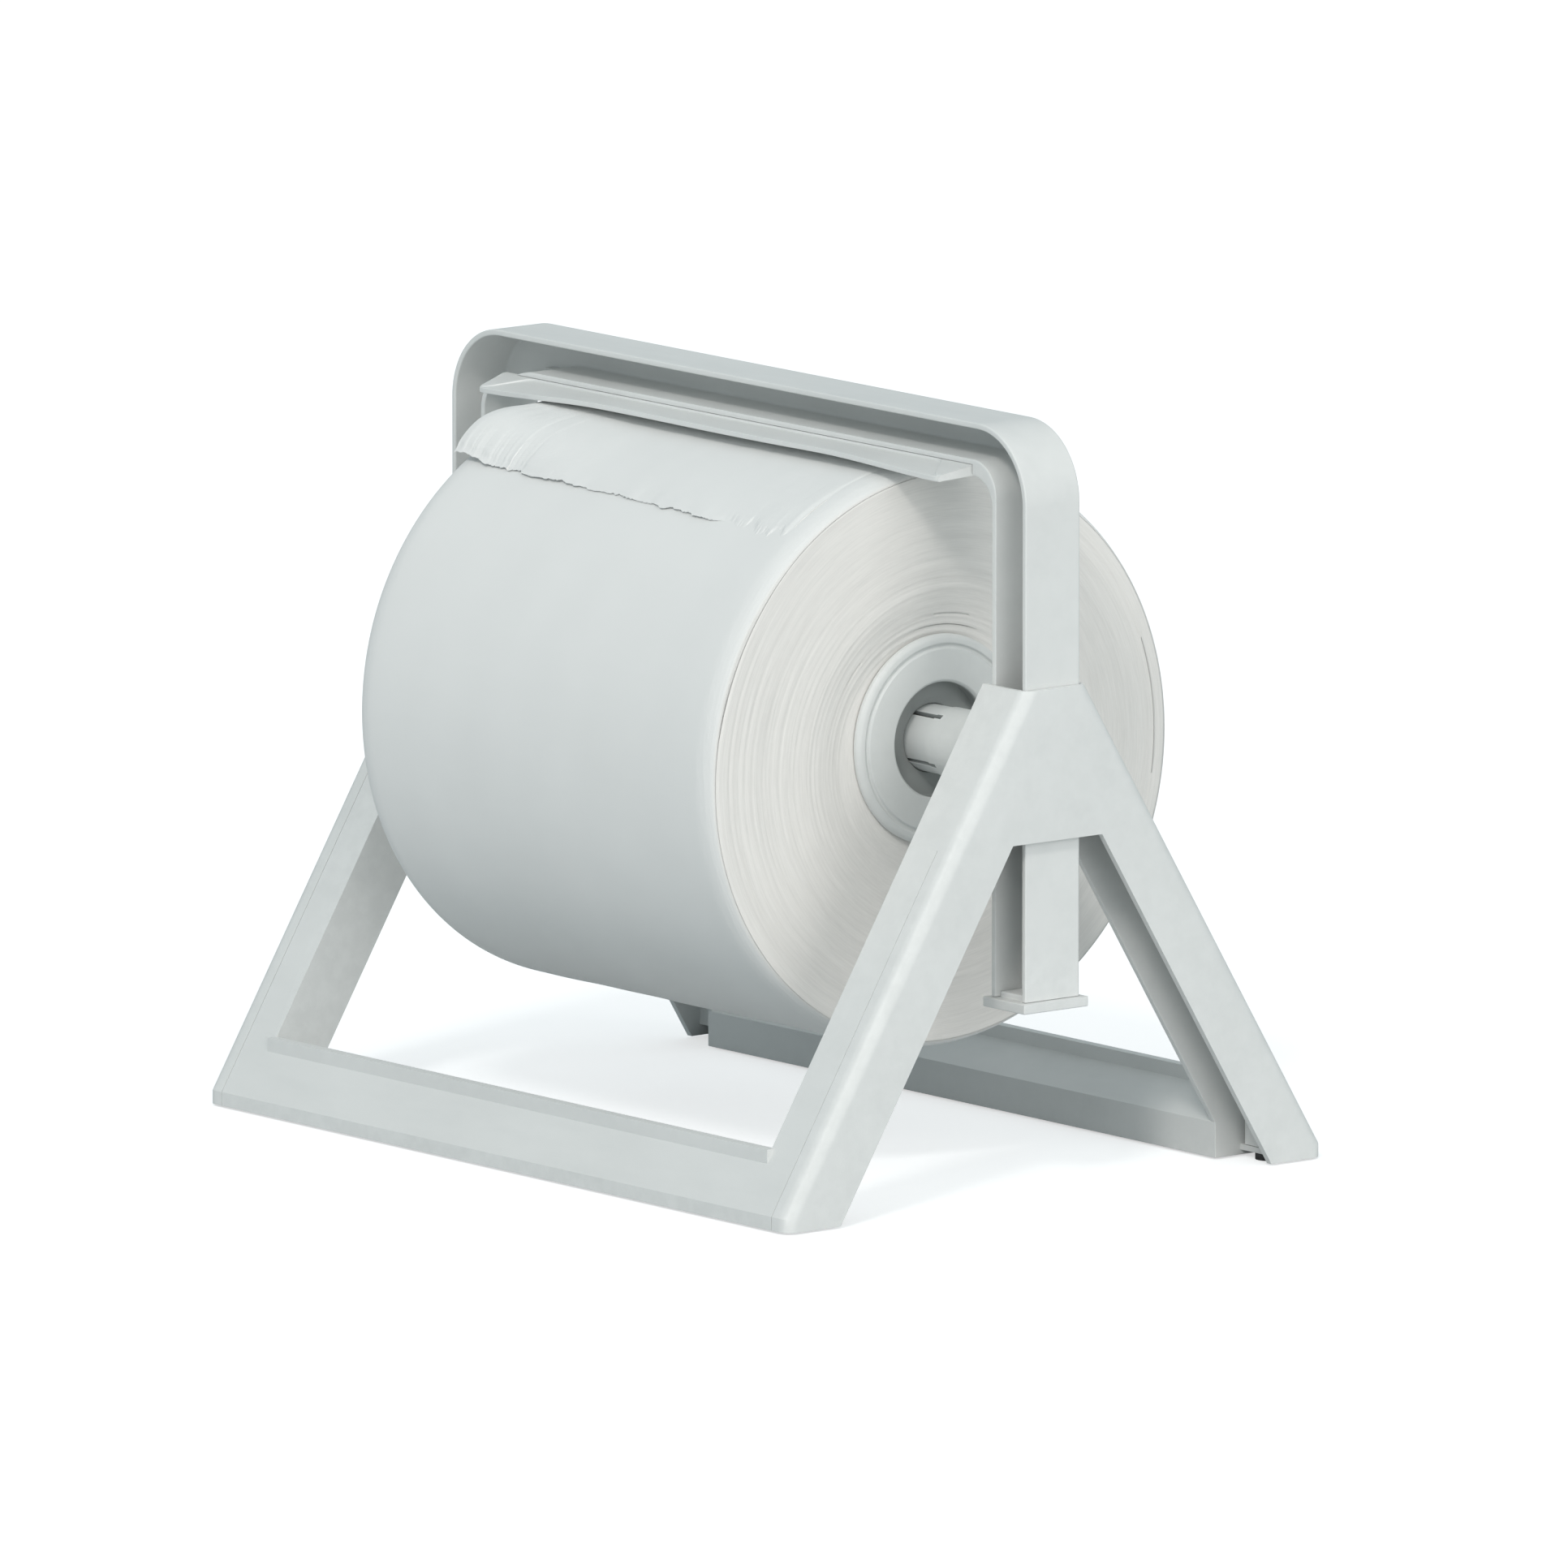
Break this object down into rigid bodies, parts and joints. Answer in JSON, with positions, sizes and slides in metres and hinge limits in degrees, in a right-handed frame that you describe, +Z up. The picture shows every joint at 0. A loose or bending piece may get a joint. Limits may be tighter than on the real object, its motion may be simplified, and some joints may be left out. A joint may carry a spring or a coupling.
{
  "type": "industrial roll dispenser",
  "caption": "Bench stand with A-shaped sides, a lift-out hoop with a tear shelf, snap-in spindles and hubs, and a wide roll of wiping paper that turns between them.",
  "frame": {"origin": "on the floor under the middle of the stand", "axes": "+X along the roll axis towards the right side frame, +Y to the back, +Z up; the tear edge faces -Y"},
  "size_m": [0.464, 0.34, 0.3815],
  "materials": {
    "white_plastic": "satin white moulded plastic with a cool grey cast",
    "paper": "matt white wiping paper, slightly warm at the cut ends",
    "cardboard": "plain brown board",
    "rubber": "matt black",
    "steel": "zinc plated"
  },
  "bodies": {
    "stand": {"left_side_frame": "white_plastic", "right_side_frame": "white_plastic", "front_frame": "white_plastic", "rear_frame": "white_plastic", "rubber_foot_front_left": "rubber", "rubber_foot_rear_left": "rubber", "rubber_foot_front_right": "rubber", "rubber_foot_rear_right": "rubber", "foot_screw_front_left": "steel", "foot_screw_rear_left": "steel", "foot_screw_front_right": "steel", "foot_screw_rear_right": "steel"},
    "hoop": {"hoop_frame": "white_plastic", "tear_shelf": "white_plastic", "left_leg_cap": "white_plastic", "right_leg_cap": "white_plastic", "left_spindle": "white_plastic", "right_spindle": "white_plastic", "shelf_screw_left": "steel", "shelf_screw_middle": "steel", "shelf_screw_right": "steel", "left_spindle_screw": "steel", "right_spindle_screw": "steel"},
    "left_hub": {"left_hub": "white_plastic"},
    "right_hub": {"right_hub": "white_plastic"},
    "roll": {"roll_core": "cardboard", "paper_roll": "paper", "loose_sheet": "paper"}
  },
  "joints": [
    {"name": "hoop_lift", "type": "slide", "parent": "stand", "child": "hoop", "axis": [0, 0, 1], "range_m": [0, 0.0795]},
    {"name": "left_hub_spin", "type": "hinge", "parent": "hoop", "child": "left_hub", "pos_m": [-0.1393, 0, 0.216], "axis": [1, 0, 0], "continuous": true},
    {"name": "right_hub_spin", "type": "hinge", "parent": "hoop", "child": "right_hub", "pos_m": [0.1393, 0, 0.216], "axis": [1, 0, 0], "continuous": true},
    {"name": "roll_spin", "type": "hinge", "parent": "hoop", "child": "roll", "pos_m": [0, 0, 0.2075], "axis": [1, 0, 0], "continuous": true}
  ]
}
